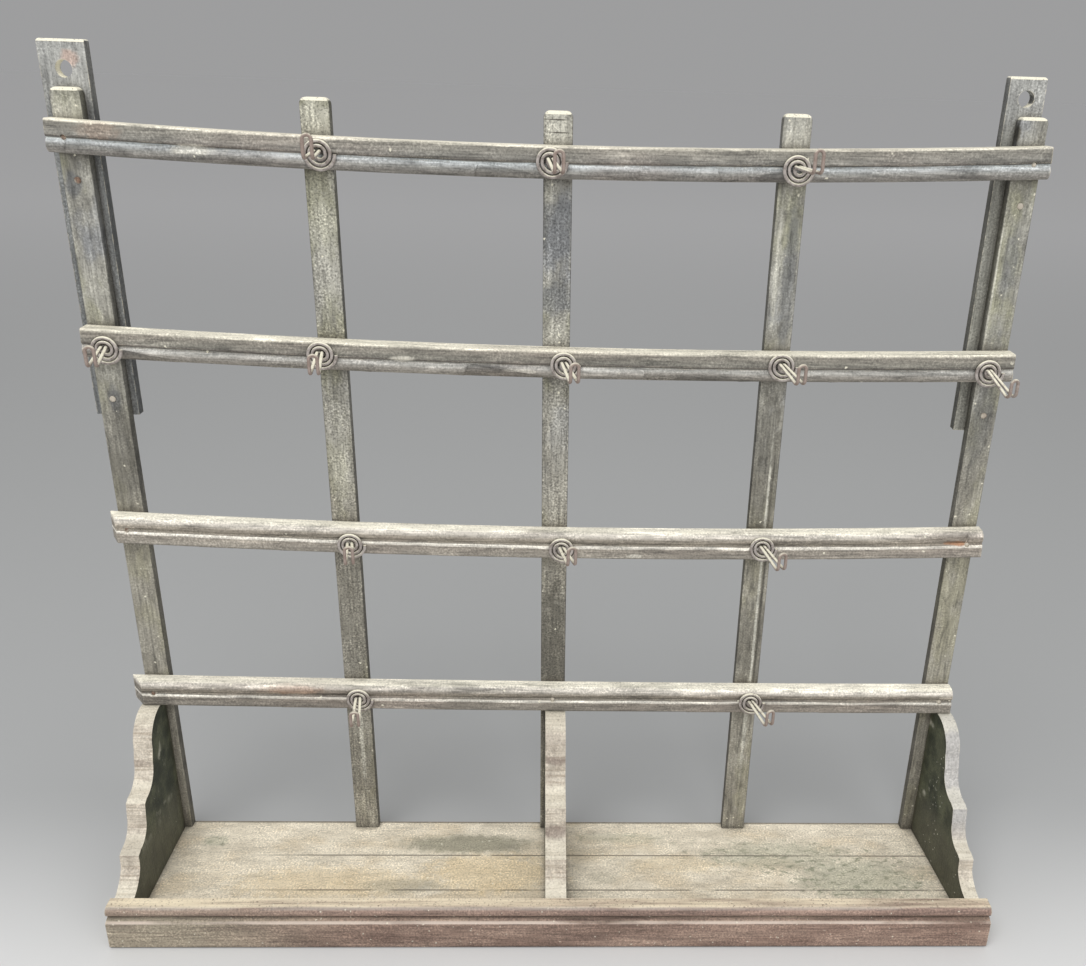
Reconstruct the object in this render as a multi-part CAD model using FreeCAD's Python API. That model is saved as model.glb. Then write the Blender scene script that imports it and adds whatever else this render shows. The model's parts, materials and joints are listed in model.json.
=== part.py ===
"""Wall key rack: five stiles, four moulded rails, a lipped shelf on scrolled brackets, wire hooks.

Millimetres, +X to the right, +Y into the wall, +Z up.
The origin lies on the wall, midway between the two hanging holes.
"""
import FreeCAD
import Part
import math
import os

Vector = FreeCAD.Vector

# Lattice; its middle lies a little to the right of the holes' middle, the pitch is that of the inner
# stiles, and the outer stiles stand in front of the hanger battens
LATTICE_ASIDE = 3.0
STILE_PITCH = 147.0
STILE_WIDTH = 18.0
STILE_THICK = 7.0
STILE_HEIGHT = 547.0
STILE_CORNER = 4.0
STILE_ARRIS = 1.0
STILE_BEVEL = 2.2
RAIL_THICK = 11.0
RAIL_BAND = 9.2
RAIL_GROOVE = 0.5
RAIL_GROOVE_DEPTH = 1.6
RAIL_BEAD = 10.0
RAIL_ARRIS = 1.4

# One row a stile, from the left: how much it is longer than STILE_HEIGHT
STILES = {
    "stile_far_left": 1.4,
    "stile_left": 0.0,
    "stile_middle": -3.5,
    "stile_right": -1.1,
    "stile_far_right": 1.2,
}

# One row a rail: height of its ends above the shelf, sag of its middle, fall from left to right,
# reach past the outer stiles at left and right, and how much longer the back of a mitred left end is
RAILS = {
    "rail_bottom": (120.4, 1.7, 2.1, -1.3, 0.6, 9.9),
    "rail_lower": (252.9, 6.2, 2.0, -2.0, 2.3, 7.3),
    "rail_upper": (383.4, 6.0, 4.0, 0.9, 1.7, 0.0),
    "rail_top": (511.9, 7.7, -0.6, 1.8, 1.9, 0.0),
}
BEAD_ON_TOP = ("rail_bottom", "rail_lower")

# Hanger battens behind the outer stiles
HANGER_THICK = 7.0
HANGER_FOOT = 342.0
HANGER_CORNER = 1.5
HANGER_BEVEL = 1.5
HANGING_HOLE_HEIGHT = 558.5
HANGING_HOLE_SPACING = 584.0
HANGING_HOLE_INSET = 2.0
HANGING_HOLE_DIAMETER = 10.0

# One row a hanger: side, width, height of its top above the hole's middle
HANGERS = {
    "hanger_left": ("left", 28.0, 16.4),
    "hanger_right": ("right", 23.2, 12.8),
}

# Shelf, heights counted from its upper face
SHELF_DEPTH = 103.0
SHELF_THICK = 14.0
SHELF_ASIDE = 5.5
SHELF_BACK_SEAM = 38.5
SHELF_FRONT_SEAM = 75.0
SHELF_END = 8.0
LIP_RISE = 19.0
LIP_THICK = 11.0
LIP_FASCIA_STEP = 2.0
LIP_BEAD = 8.0
LIP_LEDGE = 2.2
LIP_ARRIS = 1.5
LIP_END = 9.5

# Scrolled brackets
BRACKET_PAST = 1.0
BRACKET_SEAT_GAP = 0.05
BRACKET_ROUND = 22.0
BRACKET_NECK_RUN = 3.0
BRACKET_NECK_DROP = 9.5
BRACKET_UPPER_COVE = 18.0
BRACKET_UPPER_LAND = 4.0
BRACKET_UPPER_FILLET = 11.0
BRACKET_LOWER_COVE = 15.0
BRACKET_LOWER_LAND = 4.5
BRACKET_LOWER_FILLET = 9.5
BRACKET_LEAN = 2.0
BRACKET_FOOT_SAG = 2.0

# One row a bracket, from the left: stray from its place, how far its toe stands to the right of
# its back, thickness
BRACKETS = {
    "bracket_left": (0.0, 0.0, 13.5),
    "bracket_middle": (1.9, 3.4, 15.0),
    "bracket_right": (0.0, 8.0, 10.5),
}

# Wire hooks
WIRE = 2.2
TURN_GAP = 0.5
HALF_TURNS = 5
ROOT_SPACING = 3.0
ROOT_BEND = 1.6
TIP_SPACING = 5.2
TIP_BEND = 2.6
HOOK_REACH = 29.0
HOOK_LEG = 10.5
HOOK_SEAT_GAP = 0.1
HOOK_HOLE_CLEARANCE = 0.3
SHANK_STRAIGHT = 1.6
SHANK_BEND = 4.0
CLINCH_TAIL = 9.0
BLIND_END = 1.0

# Nails
BRAD_HEAD = 3.0
NAIL_HEAD = 4.0
NAIL_HEAD_THICK = 0.9
NAIL_RIM = 0.4
NAIL_CROWN_SHARE = 0.7
NAIL_SHANK = 1.6
NAIL_POINT = 2.5
NAIL_CLEARANCE = 0.05
BRAD_LENGTH = 14.0
HANGER_NAIL_LENGTH = 12.5
SHELF_NAIL_LENGTH = 32.0
HANGER_NAIL_HEIGHTS = (355.0, 495.0)
BRACKET_NAIL_DEPTHS = (18.0, 50.0, 82.0)

# One row a hook: its rail and stile, then how far the bent wire strays from the middle of the
# crossing: sideways and up in mm, swing and droop in degrees
HOOKS = {
    "hook_top_left": ("rail_top", "stile_left", 2.7, 1.4, 2, 4),
    "hook_top_middle": ("rail_top", "stile_middle", -4.5, 2.3, 12, 12),
    "hook_top_right": ("rail_top", "stile_right", -0.4, -0.2, 14, 2),
    "hook_upper_far_left": ("rail_upper", "stile_far_left", 5.2, -1.1, 6, 12),
    "hook_upper_left": ("rail_upper", "stile_left", -5.1, 3.2, 4, 16),
    "hook_upper_middle": ("rail_upper", "stile_middle", 5.2, 2.2, 15, 13),
    "hook_upper_right": ("rail_upper", "stile_right", 1.5, 3.7, 17, 13),
    "hook_upper_far_right": ("rail_upper", "stile_far_right", -7.2, -0.4, 21, 27),
    "hook_lower_left": ("rail_lower", "stile_left", 5.2, -1.1, 10, 7),
    "hook_lower_middle": ("rail_lower", "stile_middle", 5.2, -0.6, 15, 1),
    "hook_lower_right": ("rail_lower", "stile_right", -0.1, 1.5, 20, 13),
    "hook_bottom_left": ("rail_bottom", "stile_left", 3.1, 1.0, 5, 16),
    "hook_bottom_right": ("rail_bottom", "stile_right", 2.0, 1.7, 21, 9),
}
OUTER_STILES = ("stile_far_left", "stile_far_right")

POINT_MATCH = 1e-6
INTO_WALL = Vector(0, 1, 0)
UPWARD = Vector(0, 0, 1)

# Places worked out from the sizes above
SHELF_TOP = -HANGING_HOLE_HEIGHT
STILE_BACK = -HANGER_THICK
STILE_FRONT = STILE_BACK - STILE_THICK
RAIL_FRONT = STILE_FRONT - RAIL_THICK
RAIL_HEIGHT = RAIL_BAND + RAIL_GROOVE + RAIL_BEAD
BEAD_FOOT = RAIL_BEAD / 2 + math.sqrt(RAIL_GROOVE_DEPTH * (RAIL_BEAD - RAIL_GROOVE_DEPTH))
STILE_X = {name: LATTICE_ASIDE + (index - (len(STILES) - 1) / 2) * STILE_PITCH
           for index, name in enumerate(STILES)}
OUTER_REACH = HANGING_HOLE_SPACING / 2 + HANGING_HOLE_INSET
STILE_X.update(zip(OUTER_STILES, (LATTICE_ASIDE - OUTER_REACH, LATTICE_ASIDE + OUTER_REACH)))
OUTER_EDGE = OUTER_REACH + STILE_WIDTH / 2
HOLE_X = {"left": -HANGING_HOLE_SPACING / 2, "right": HANGING_HOLE_SPACING / 2}
SHELF_MIDDLE = LATTICE_ASIDE + SHELF_ASIDE
SHELF_HALF = OUTER_EDGE + SHELF_END
LIP_HALF = OUTER_EDGE + LIP_END
SHELF_FRONT = STILE_BACK - SHELF_DEPTH
LIP_FRONT = SHELF_FRONT - LIP_THICK
BRACKET_X = {name: LATTICE_ASIDE + aside + side * (OUTER_EDGE + BRACKET_PAST - thick / 2)
             for side, (name, (aside, splay, thick)) in enumerate(BRACKETS.items(), start=-1)}
BRACKET_RUN = STILE_FRONT - SHELF_FRONT


def extrude(edges, direction):
    """A solid swept straight from a closed flat outline."""
    return Part.Face(Part.Wire(edges)).extrude(direction)


def line(start, end):
    return Part.LineSegment(start, end).toShape()


def arc(start, middle, end):
    return Part.Arc(start, middle, end).toShape()


def quarter(start, end, centre):
    """A quarter circle about a centre, from start to end."""
    middle = (start + end) * 0.5 - centre
    radius = (start - centre).Length
    return arc(start, centre + middle * (radius / middle.Length), end)


def drill(x, z, y_front, y_back, diameter):
    """A cutter along Y."""
    return Part.makeCylinder(diameter / 2, y_back - y_front, Vector(x, y_front, z), INTO_WALL)


def nail(head, length, place, direction):
    """A nail whose head sits on place and whose shank points along direction."""
    shank = NAIL_SHANK / 2
    outline = [
        Vector(0, 0, -NAIL_HEAD_THICK),
        Vector(NAIL_CROWN_SHARE * head / 2, 0, -NAIL_HEAD_THICK),
        Vector(head / 2, 0, -NAIL_RIM),
        Vector(head / 2, 0, 0),
        Vector(shank, 0, 0),
        Vector(shank, 0, length - NAIL_POINT),
        Vector(0, 0, length),
    ]
    face = Part.Face(Part.makePolygon(outline + outline[:1]))
    solid = face.revolve(Vector(0, 0, 0), UPWARD, 360)
    solid.Placement = FreeCAD.Placement(place, FreeCAD.Rotation(UPWARD, direction))
    return solid


def nail_hole(length, place, direction):
    return Part.makeCylinder(NAIL_SHANK / 2 + NAIL_CLEARANCE, length + NAIL_CLEARANCE, place, direction)


def rail_radius(rail):
    """Radius of a sagging rail's underside."""
    sag = RAILS[rail][1]
    return (OUTER_EDGE ** 2 + sag ** 2) / (2 * sag)


def rail_under(rail, x):
    """Height of a rail's underside at x."""
    rise, sag, fall = RAILS[rail][:3]
    radius = rail_radius(rail)
    along = x - LATTICE_ASIDE
    drop = math.sqrt(radius ** 2 - along ** 2) - (radius - sag)
    return SHELF_TOP + rise - drop - fall * along / (2 * OUTER_EDGE)


def groove_middle(rail, x):
    """Height of the middle of a rail's groove at x."""
    from_bead = (BEAD_FOOT + RAIL_BEAD + RAIL_GROOVE) / 2
    return rail_under(rail, x) + (RAIL_HEIGHT - from_bead if rail in BEAD_ON_TOP else from_bead)


def rail_nail_places():
    """Brads in the groove of each crossing that has no hook."""
    hooked = {row[:2] for row in HOOKS.values()}
    places = []
    for rail in RAILS:
        for stile, x in STILE_X.items():
            if (rail, stile) not in hooked:
                places.append(Vector(x, RAIL_FRONT + RAIL_GROOVE_DEPTH, groove_middle(rail, x)))
    return places


def hanger_nail_places():
    return [Vector(x, STILE_FRONT, SHELF_TOP + height)
            for x in (STILE_X[stile] for stile in OUTER_STILES) for height in HANGER_NAIL_HEIGHTS]


def shelf_nail_places():
    """Nails driven up through the shelf into the stiles and the brackets, their heads sunk flush."""
    under = SHELF_TOP - SHELF_THICK + NAIL_HEAD_THICK
    places = [Vector(x, (STILE_FRONT + STILE_BACK) / 2, under) for x in STILE_X.values()]
    for name, (aside, splay, thick) in BRACKETS.items():
        for depth in BRACKET_NAIL_DEPTHS:
            places.append(Vector(BRACKET_X[name] + splay * depth / BRACKET_RUN, STILE_FRONT - depth, under))
    return places


def cut_nails(solid, places, length, direction):
    for place in places:
        solid = solid.cut(nail_hole(length, place, direction))
    return solid


def bevel_top(solid, bevel):
    """Plane off the front edge of an upright strip's top."""
    box = solid.BoundBox
    foot = Vector(box.XMin, box.YMin, box.ZMax - bevel)
    slope = Vector(0, bevel, bevel)
    corners = [foot - slope, foot + slope * 2, foot + Vector(0, -bevel, 2 * bevel)]
    wedge = Part.Face(Part.makePolygon(corners + corners[:1]))
    return solid.cut(wedge.extrude(Vector(box.XLength, 0, 0)))


def hook_axis(row):
    """Middle of a hook's rosette on the front of its rail."""
    rail, stile, aside, above = row[:4]
    x = STILE_X[stile] + aside
    return Vector(x, RAIL_FRONT, rail_under(rail, x) + RAIL_HEIGHT / 2 + above)


def cut_hooks(solid, y_front, y_back):
    """Drill the holes of every hook's returning strand through a piece."""
    for row in HOOKS.values():
        centre = hook_axis(row)
        hole = drill(centre.x + ROOT_SPACING / 2, centre.z, y_front, y_back, WIRE + 2 * HOOK_HOLE_CLEARANCE)
        if solid.common(hole).Volume > 0:
            solid = solid.cut(hole)
    return solid


def make_stile(name):
    """A flat strip with rounded top corners, a planed-off top and a worn front arris."""
    left = STILE_X[name] - STILE_WIDTH / 2
    right = STILE_X[name] + STILE_WIDTH / 2
    top = SHELF_TOP + STILE_HEIGHT + STILES[name]
    r = STILE_CORNER

    def at(px, pz):
        return Vector(px, STILE_FRONT, pz)

    outline = [
        line(at(left, SHELF_TOP), at(right, SHELF_TOP)),
        line(at(right, SHELF_TOP), at(right, top - r)),
        quarter(at(right, top - r), at(right - r, top), at(right - r, top - r)),
        line(at(right - r, top), at(left + r, top)),
        quarter(at(left + r, top), at(left, top - r), at(left + r, top - r)),
        line(at(left, top - r), at(left, SHELF_TOP)),
    ]
    solid = extrude(outline, Vector(0, STILE_THICK, 0))
    worn = [edge for edge in solid.Edges
            if edge.BoundBox.YMax < (STILE_FRONT + STILE_BACK) / 2
            and edge.BoundBox.ZMax > SHELF_TOP + STILE_CORNER]
    solid = bevel_top(solid.makeFillet(STILE_ARRIS, worn), STILE_BEVEL)
    solid = cut_hooks(solid, STILE_FRONT, STILE_BACK)
    solid = cut_nails(solid, rail_nail_places(), BRAD_LENGTH, INTO_WALL)
    solid = cut_nails(solid, hanger_nail_places(), HANGER_NAIL_LENGTH, INTO_WALL)
    return cut_nails(solid, shelf_nail_places(), SHELF_NAIL_LENGTH, UPWARD)


def rail_section(bead_on_top):
    """Half-round bead, sloping ledge and flat band, from the bottom up unless turned over."""
    r = RAIL_BEAD / 2
    floor = RAIL_FRONT + RAIL_GROOVE_DEPTH
    band_low = RAIL_BEAD + RAIL_GROOVE
    a = RAIL_ARRIS

    def at(y, height):
        return Vector(LATTICE_ASIDE, y, RAIL_HEIGHT - height if bead_on_top else height)

    return [
        line(at(STILE_FRONT, 0), at(RAIL_FRONT + r, 0)),
        arc(at(RAIL_FRONT + r, 0), at(RAIL_FRONT, r), at(floor, BEAD_FOOT)),
        line(at(floor, BEAD_FOOT), at(RAIL_FRONT, band_low)),
        line(at(RAIL_FRONT, band_low), at(RAIL_FRONT, RAIL_HEIGHT - a)),
        quarter(at(RAIL_FRONT, RAIL_HEIGHT - a), at(RAIL_FRONT + a, RAIL_HEIGHT),
                at(RAIL_FRONT + a, RAIL_HEIGHT - a)),
        line(at(RAIL_FRONT + a, RAIL_HEIGHT), at(STILE_FRONT, RAIL_HEIGHT)),
        line(at(STILE_FRONT, RAIL_HEIGHT), at(STILE_FRONT, 0)),
    ]


def make_rail(name):
    """One moulded rail, turned about a far point above it by its sag and tipped by its fall."""
    rise, sag, fall, left, right, mitre = RAILS[name]
    radius = rail_radius(name)
    section = Part.Face(Part.Wire(rail_section(name in BEAD_ON_TOP)))
    middle = Vector(LATTICE_ASIDE, 0, SHELF_TOP + rise - sag)
    section.translate(UPWARD * middle.z)
    centre = middle + UPWARD * radius
    to_left = math.degrees(math.asin((OUTER_EDGE + left + mitre) / radius))
    to_right = math.degrees(math.asin((OUTER_EDGE + right) / radius))
    section.rotate(centre, INTO_WALL, to_left)
    solid = section.revolve(centre, -INTO_WALL, to_left + to_right)
    solid.rotate(middle, INTO_WALL, math.degrees(math.atan(fall / (2 * OUTER_EDGE))))
    if mitre > 0:
        solid = solid.cut(end_wedge(name))
    solid = cut_hooks(solid, RAIL_FRONT, STILE_FRONT)
    for place in rail_nail_places():
        solid = solid.cut(drill(place.x, place.z, RAIL_FRONT, place.y, BRAD_HEAD + 2 * NAIL_CLEARANCE))
    return cut_nails(solid, rail_nail_places(), BRAD_LENGTH, INTO_WALL)


def end_wedge(rail):
    """A cutter that mitres a rail's left end, so that its front is shorter than its back."""
    left, right, mitre = RAILS[rail][3:]
    end = LATTICE_ASIDE - OUTER_EDGE - left
    foot = rail_under(rail, end) - RAIL_HEIGHT
    slope = Vector(-mitre, RAIL_THICK, 0)
    front = Vector(end, RAIL_FRONT, foot)
    past = front + slope * 2
    corners = [front - slope, past, past - Vector(2 * RAIL_THICK, 3 * RAIL_THICK, 0)]
    wedge = Part.Face(Part.makePolygon(corners + corners[:1]))
    return wedge.extrude(UPWARD * (3 * RAIL_HEIGHT))


def make_hanger(name):
    """A batten behind an outer stile, with the hanging hole in the tab above it."""
    side, width, top = HANGERS[name]
    x = HOLE_X[side]
    left = x - width / 2
    right = x + width / 2
    foot = SHELF_TOP + HANGER_FOOT
    r = HANGER_CORNER

    def at(px, pz):
        return Vector(px, STILE_BACK, pz)

    outline = [
        line(at(left, foot), at(right, foot)),
        line(at(right, foot), at(right, top - r)),
        quarter(at(right, top - r), at(right - r, top), at(right - r, top - r)),
        line(at(right - r, top), at(left + r, top)),
        quarter(at(left + r, top), at(left, top - r), at(left + r, top - r)),
        line(at(left, top - r), at(left, foot)),
    ]
    solid = bevel_top(extrude(outline, Vector(0, HANGER_THICK, 0)), HANGER_BEVEL)
    solid = solid.cut(drill(x, 0.0, STILE_BACK, 0.0, HANGING_HOLE_DIAMETER))
    solid = cut_hooks(solid, STILE_BACK, 0.0)
    return cut_nails(solid, hanger_nail_places(), HANGER_NAIL_LENGTH, INTO_WALL)


def make_shelf_board(y_front, y_back):
    corner = Vector(SHELF_MIDDLE - SHELF_HALF, y_front, SHELF_TOP - SHELF_THICK)
    solid = Part.makeBox(2 * SHELF_HALF, y_back - y_front, SHELF_THICK, corner)
    sink = NAIL_HEAD / 2 + NAIL_CLEARANCE
    for place in shelf_nail_places():
        solid = solid.cut(Part.makeCylinder(sink, NAIL_HEAD_THICK, place - UPWARD * NAIL_HEAD_THICK))
    return cut_nails(solid, shelf_nail_places(), SHELF_NAIL_LENGTH, UPWARD)


def make_lip():
    """The raised front edge: a bead on top, a ledge, and a flat fascia down to the shelf's underside."""
    top = SHELF_TOP + LIP_RISE
    foot = SHELF_TOP - SHELF_THICK
    r = LIP_BEAD / 2
    fascia = LIP_FRONT - LIP_FASCIA_STEP
    neck = LIP_FRONT + r
    ledge = top - LIP_BEAD - LIP_LEDGE
    a = LIP_ARRIS

    def at(y, z):
        return Vector(SHELF_MIDDLE - LIP_HALF, y, z)

    edges = [
        line(at(SHELF_FRONT, foot), at(SHELF_FRONT, top)),
        line(at(SHELF_FRONT, top), at(neck, top)),
        arc(at(neck, top), at(LIP_FRONT, top - r), at(neck, top - LIP_BEAD)),
        line(at(neck, top - LIP_BEAD), at(fascia + a, ledge)),
        quarter(at(fascia + a, ledge), at(fascia, ledge - a), at(fascia + a, ledge - a)),
        line(at(fascia, ledge - a), at(fascia, foot + a)),
        quarter(at(fascia, foot + a), at(fascia + a, foot), at(fascia + a, foot + a)),
        line(at(fascia + a, foot), at(SHELF_FRONT, foot)),
    ]
    return extrude(edges, Vector(2 * LIP_HALF, 0, 0))


def make_bracket(name):
    """A scrolled plate under the bottom rail: a round, two coves with fillets, and a flared foot."""
    aside, splay, thick = BRACKETS[name]
    left = BRACKET_X[name] - thick / 2
    right = BRACKET_X[name] + thick / 2
    top = min(rail_under("rail_bottom", left), rail_under("rail_bottom", right)) - BRACKET_SEAT_GAP

    def at(y, z):
        return Vector(left, y, z)

    shoulder = at(RAIL_FRONT, top)
    brow = shoulder + Vector(0, -BRACKET_ROUND, -BRACKET_ROUND)
    neck = brow + Vector(0, -BRACKET_NECK_RUN, -BRACKET_NECK_DROP)
    upper_cove = neck + Vector(0, -BRACKET_UPPER_COVE, -BRACKET_UPPER_COVE)
    upper_land = upper_cove + Vector(0, -BRACKET_UPPER_LAND, -BRACKET_LEAN)
    upper_fillet = upper_land + Vector(0, -BRACKET_LEAN, -BRACKET_UPPER_FILLET)
    lower_cove = upper_fillet + Vector(0, -BRACKET_LOWER_COVE, -BRACKET_LOWER_COVE)
    lower_land = lower_cove + Vector(0, -BRACKET_LOWER_LAND, -BRACKET_LEAN)
    lower_fillet = lower_land + Vector(0, -BRACKET_LEAN / 2, -BRACKET_LOWER_FILLET)
    toe = at(SHELF_FRONT, SHELF_TOP + LIP_RISE)
    flare = (lower_fillet + toe) * 0.5
    across = toe - lower_fillet
    sag = Vector(0, -across.z, across.y)
    sag.normalize()
    edges = [
        line(at(STILE_FRONT, SHELF_TOP), at(STILE_FRONT, top)),
        line(at(STILE_FRONT, top), shoulder),
        quarter(shoulder, brow, shoulder + Vector(0, 0, -BRACKET_ROUND)),
        line(brow, neck),
        quarter(neck, upper_cove, neck + Vector(0, -BRACKET_UPPER_COVE, 0)),
        line(upper_cove, upper_land),
        line(upper_land, upper_fillet),
        quarter(upper_fillet, lower_cove, upper_fillet + Vector(0, -BRACKET_LOWER_COVE, 0)),
        line(lower_cove, lower_land),
        line(lower_land, lower_fillet),
        arc(lower_fillet, flare + sag * BRACKET_FOOT_SAG, toe),
        line(toe, at(SHELF_FRONT, SHELF_TOP)),
        line(at(SHELF_FRONT, SHELF_TOP), at(STILE_FRONT, SHELF_TOP)),
    ]
    solid = extrude(edges, Vector(thick + splay, 0, 0))
    if splay > 0:
        corners = [
            Vector(left, STILE_FRONT, SHELF_TOP),
            Vector(right, STILE_FRONT, SHELF_TOP),
            Vector(right + splay, SHELF_FRONT, SHELF_TOP),
            Vector(left + splay, SHELF_FRONT, SHELF_TOP),
        ]
        plan = Part.Face(Part.makePolygon(corners + corners[:1]))
        solid = solid.common(plan.extrude(UPWARD * (top - SHELF_TOP)))
    return cut_nails(solid, shelf_nail_places(), SHELF_NAIL_LENGTH, UPWARD)


def rounded_run(points, radii):
    """Straight runs through the points, with a tangent arc of the given radius at each inner point."""
    edges = []
    start = points[0]
    for before, corner, after, radius in zip(points, points[1:], points[2:], radii):
        inward = (before - corner).normalize()
        outward = (after - corner).normalize()
        half_angle = inward.getAngle(outward) / 2
        reach = radius / math.tan(half_angle)
        first = corner + inward * reach
        last = corner + outward * reach
        bisector = (inward + outward).normalize()
        nearest = corner + bisector * (radius / math.sin(half_angle) - radius)
        if not first.isEqual(start, POINT_MATCH):
            edges.append(line(start, first))
        edges.append(arc(first, nearest, last))
        start = last
    edges.append(line(start, points[-1]))
    return edges


def hook_path(row):
    """The hook's wire from the outer end of its rosette, out to the hairpin tip and back through the rail."""
    stile = row[1]
    swing, droop = (math.radians(angle) for angle in row[4:])
    origin = hook_axis(row)
    half_root = ROOT_SPACING / 2
    half_tip = TIP_SPACING / 2
    plane = WIRE / 2 + HOOK_SEAT_GAP

    def at(side, out, up):
        return origin + Vector(side, -out, up)

    # Rosette: half circles about centres on one line below the strands
    pitch = WIRE + TURN_GAP
    first = math.hypot(half_root, ROOT_BEND) + pitch
    crossings = [-half_root]
    for turn in range(HALF_TURNS):
        size = first + (turn // 2) * pitch
        crossings.append(size if turn % 2 == 0 else -size)
    edges = []
    for turn in reversed(range(HALF_TURNS)):
        inner = crossings[turn]
        outer = crossings[turn + 1]
        radius = abs(outer - inner) / 2
        dip = -ROOT_BEND - radius if turn % 2 == 0 else -ROOT_BEND + radius
        edges.append(arc(at(outer, plane, -ROOT_BEND), at((inner + outer) / 2, plane, dip),
                         at(inner, plane, -ROOT_BEND)))

    # Strand out, hairpin, strand back
    reach = HOOK_REACH * math.cos(droop)
    ahead = Vector(reach * math.sin(swing), -reach * math.cos(swing), -HOOK_REACH * math.sin(droop))
    across = Vector(math.cos(swing), math.sin(swing), 0) * half_tip
    rise = Vector(0, 0, HOOK_LEG)
    tip_out = origin + ahead - across
    tip_back = origin + ahead + across
    eye_start = at(-half_root, plane, -ROOT_BEND)
    turn_angle = UPWARD.getAngle(tip_out - at(-half_root, plane, 0))
    root = at(-half_root, plane, -ROOT_BEND + ROOT_BEND * math.tan(turn_angle / 2))
    edges += rounded_run([eye_start, root, tip_out, tip_out + rise], [ROOT_BEND, TIP_BEND])
    crown = origin + ahead + rise + Vector(0, 0, half_tip)
    edges.append(arc(tip_out + rise, crown, tip_back + rise))
    mouth = at(half_root, SHANK_STRAIGHT, 0)
    back = [tip_back + rise, tip_back, mouth]
    bends = [TIP_BEND, SHANK_BEND]
    if stile in OUTER_STILES:
        back.append(Vector(mouth.x, -BLIND_END, mouth.z))
    else:
        corner = Vector(mouth.x, STILE_BACK + ROOT_BEND, mouth.z)
        back += [corner, corner + Vector(0, 0, CLINCH_TAIL)]
        bends.append(ROOT_BEND)
    edges += rounded_run(back, bends)
    return Part.Wire(edges)


def least_gap(path):
    """Least clear distance between stretches of the wire a few diameters or more apart along it."""
    steps_per_wire = 4
    wires_apart = 6
    count = int(path.Length / WIRE * steps_per_wire)
    points = path.discretize(Number=count)
    apart = wires_apart * steps_per_wire
    least = path.Length
    for i in range(0, count - apart):
        for j in range(i + apart, count):
            least = min(least, points[i].distanceToPoint(points[j]))
    return least - WIRE


def make_hook(row):
    """One unbroken round wire along the hook's path."""
    path = hook_path(row)
    start = path.Edges[0]
    tangent = start.tangentAt(start.FirstParameter)
    section = Part.Wire(Part.makeCircle(WIRE / 2, start.valueAt(start.FirstParameter), tangent))
    solid = path.makePipeShell([section], True, False)
    expected = math.pi * (WIRE / 2) ** 2 * path.Length
    return solid, least_gap(path), solid.Volume / expected


def save(name, shape):
    shape.exportStep(os.path.join("parts", name + ".step"))


def main():
    os.makedirs("parts", exist_ok=True)
    for name in STILES:
        save(name, make_stile(name))
    for name in RAILS:
        save(name, make_rail(name))
    for name in HANGERS:
        save(name, make_hanger(name))
    back_seam = STILE_BACK - SHELF_BACK_SEAM
    front_seam = STILE_BACK - SHELF_FRONT_SEAM
    save("shelf_back_board", make_shelf_board(back_seam, STILE_BACK))
    save("shelf_middle_board", make_shelf_board(front_seam, back_seam))
    save("shelf_front_board", make_shelf_board(SHELF_FRONT, front_seam))
    save("shelf_lip", make_lip())
    for name in BRACKETS:
        save(name, make_bracket(name))
    brads = [nail(BRAD_HEAD, BRAD_LENGTH, place, INTO_WALL) for place in rail_nail_places()]
    save("rail_brads", Part.makeCompound(brads))
    nails = [nail(NAIL_HEAD, HANGER_NAIL_LENGTH, place, INTO_WALL) for place in hanger_nail_places()]
    save("hanger_nails", Part.makeCompound(nails))
    nails = [nail(NAIL_HEAD, SHELF_NAIL_LENGTH, place, UPWARD) for place in shelf_nail_places()]
    save("shelf_nails", Part.makeCompound(nails))
    for name, row in HOOKS.items():
        solid, gap, ratio = make_hook(row)
        print(f"{name}: least gap {gap:.2f} mm, volume to section times length {ratio:.4f}")
        save(name, solid)


main()
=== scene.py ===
"""Looks of the wall key rack: worn grey paint on old wood, a dusty shelf and rusty wire hooks.

Metres, +X to the right, +Y into the wall, +Z up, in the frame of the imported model.
"""
import json
import math

import bpy
import numpy
from mathutils import Matrix, Vector


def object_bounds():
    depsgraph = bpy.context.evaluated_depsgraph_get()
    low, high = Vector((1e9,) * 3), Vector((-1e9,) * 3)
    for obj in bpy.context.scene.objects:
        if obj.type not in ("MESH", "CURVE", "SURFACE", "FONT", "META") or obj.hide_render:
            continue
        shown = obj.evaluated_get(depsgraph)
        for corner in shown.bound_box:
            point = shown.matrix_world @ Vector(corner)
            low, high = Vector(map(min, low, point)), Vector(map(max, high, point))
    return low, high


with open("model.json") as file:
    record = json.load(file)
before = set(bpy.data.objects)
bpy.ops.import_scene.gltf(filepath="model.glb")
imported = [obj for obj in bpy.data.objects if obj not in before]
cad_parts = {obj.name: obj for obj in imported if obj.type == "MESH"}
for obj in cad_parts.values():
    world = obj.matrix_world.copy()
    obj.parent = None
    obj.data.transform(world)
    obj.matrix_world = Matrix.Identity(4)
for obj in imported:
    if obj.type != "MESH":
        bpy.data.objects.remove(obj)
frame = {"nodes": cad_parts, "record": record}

CAD_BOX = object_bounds()
MM = 0.001


def rgb(red, green, blue):
    """A colour from linear values."""
    return (red, green, blue, 1)


# Camera, as the photograph was taken
IMAGE_WIDTH = 1086
IMAGE_HEIGHT = 966
FOCAL_PIXELS = 1034.4
PRINCIPAL_POINT = (612.2, 490.6)
CAMERA_PLACE = Vector((0.0140, -0.6832, 0.0112))
CAMERA_YAW = 0.0436
CAMERA_PITCH = 0.3893
CAMERA_ROLL = -0.0327
SENSOR_WIDTH = 36.0
CLIP_START = 0.01

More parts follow.
